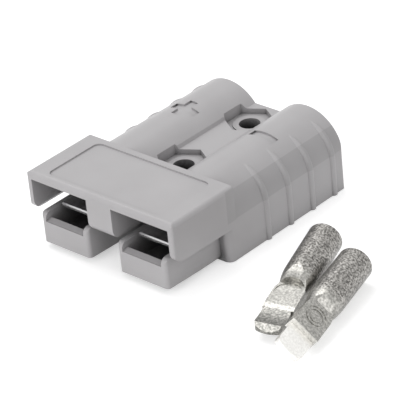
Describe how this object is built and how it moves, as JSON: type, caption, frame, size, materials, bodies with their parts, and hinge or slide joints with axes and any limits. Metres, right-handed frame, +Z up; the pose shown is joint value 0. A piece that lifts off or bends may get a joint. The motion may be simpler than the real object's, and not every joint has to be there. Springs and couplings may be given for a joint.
{
  "type": "genderless power connector",
  "caption": "Genderless power connector: ribbed housing with rounded crowns, hood, open fingers, leaf springs and hexagonal nut pockets, with loose crimp contacts lying beside it.",
  "frame": {"origin": "on the housing's flat base plane, in its symmetry plane, straight below the front edge of the mating face", "axes": "+X across the two poles to the side where the loose contacts lie, +Y from the mating face back to the wire entries, +Z up from the flat base"},
  "size_m": [0.0692, 0.0535, 0.0155],
  "materials": {
    "plastic": "satin moulded",
    "spring_steel": "bright rolled",
    "plated_copper": "silver plated, barrel matt and grainy"
  },
  "bodies": {
    "root": {"housing": "plastic", "spring_left": "spring_steel", "spring_right": "spring_steel", "contact_left": "plated_copper", "contact_right": "plated_copper"}
  },
  "joints": []
}
